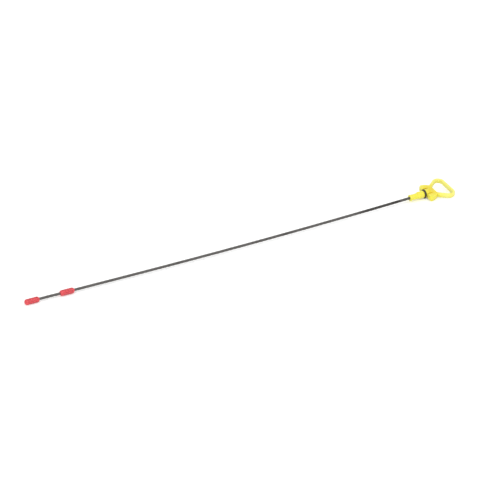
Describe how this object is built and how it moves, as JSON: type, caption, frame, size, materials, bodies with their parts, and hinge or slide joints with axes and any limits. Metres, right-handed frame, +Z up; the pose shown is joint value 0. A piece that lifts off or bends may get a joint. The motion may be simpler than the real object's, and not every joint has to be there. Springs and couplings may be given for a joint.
{
  "type": "engine oil dipstick",
  "caption": "Engine oil dipstick: stiff steel wire strand with red plastic level markers, and a yellow finger-loop handle with a sealing ring.",
  "frame": {"origin": "middle of the footprint on the plane that the dipstick lies on", "axes": "+X along the dipstick from the level markers to the finger loop, +Y across it towards the far side of the loop, +Z up from the plane that it lies on"},
  "size_m": [0.5858, 0.0442, 0.0115],
  "materials": {
    "yellow_plastic": "semi-gloss moulded yellow",
    "black_rubber": "satin black",
    "strand_steel": "dull drawn wire with a film of oil",
    "red_plastic": "semi-gloss moulded red"
  },
  "bodies": {
    "root": {"handle": "yellow_plastic", "o_ring": "black_rubber", "wire_stem": "strand_steel", "upper_marker": "red_plastic", "tip_marker": "red_plastic"}
  },
  "joints": []
}
